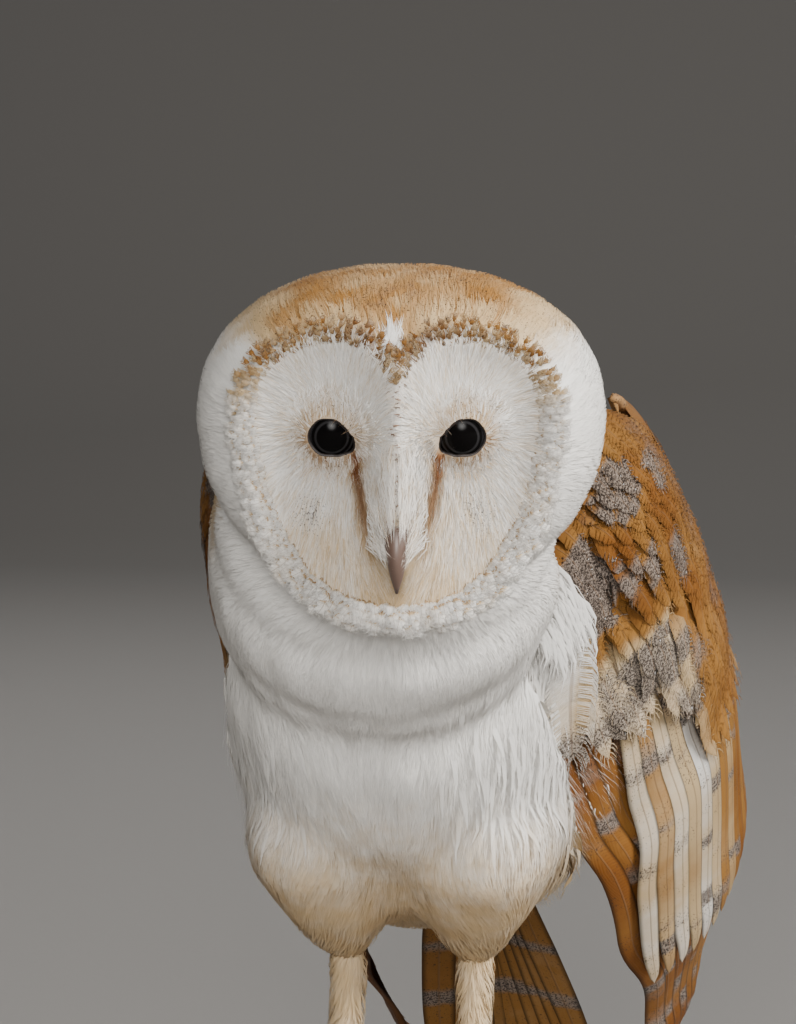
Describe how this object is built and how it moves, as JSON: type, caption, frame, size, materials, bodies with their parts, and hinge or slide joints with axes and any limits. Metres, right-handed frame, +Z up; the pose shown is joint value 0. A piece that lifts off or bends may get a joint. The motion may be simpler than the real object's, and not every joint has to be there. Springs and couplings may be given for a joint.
{
  "type": "barn owl",
  "caption": "Standing barn owl at life size, leaning forward with folded wings, its head bowed and turned a little to its left. A still figure.",
  "frame": {"origin": "on the floor, under the middle of the owl's box", "axes": "+Z up; the owl faces -Y, its tail points to +Y, and its own left is +X"},
  "size_m": [0.1302, 0.2832, 0.2497],
  "materials": {
    "white_plumage": "matt, soft",
    "disc": "matt, bristly",
    "ruff": "matt",
    "gold_plumage": "matt, with grey peppered patches",
    "flight_feather": "satin, with dark bars",
    "toe_skin": "satin",
    "claw": "polished horn",
    "bill": "satin horn",
    "eye": "wet gloss"
  },
  "bodies": {
    "root": {"disc_left": "disc", "ruff_left": "ruff", "eye_left": "eye", "wing_arm_left": "gold_plumage", "scapulars_left": "gold_plumage", "alula_left": "white_plumage", "secondaries_left": "flight_feather", "primaries_left": "flight_feather", "thigh_left": "white_plumage", "tarsus_left": "white_plumage", "toe_hind_left": "toe_skin", "claw_hind_left": "claw", "toe_inner_left": "toe_skin", "claw_inner_left": "claw", "toe_middle_left": "toe_skin", "claw_middle_left": "claw", "toe_outer_left": "toe_skin", "claw_outer_left": "claw", "disc_right": "disc", "ruff_right": "ruff", "eye_right": "eye", "wing_arm_right": "gold_plumage", "scapulars_right": "gold_plumage", "alula_right": "white_plumage", "secondaries_right": "flight_feather", "primaries_right": "flight_feather", "thigh_right": "white_plumage", "tarsus_right": "white_plumage", "toe_hind_right": "toe_skin", "claw_hind_right": "claw", "toe_inner_right": "toe_skin", "claw_inner_right": "claw", "toe_middle_right": "toe_skin", "claw_middle_right": "claw", "toe_outer_right": "toe_skin", "claw_outer_right": "claw", "head": "white_plumage", "neck": "white_plumage", "trunk": "white_plumage", "tail": "flight_feather", "bill_upper": "bill", "bill_lower": "bill"}
  },
  "joints": []
}
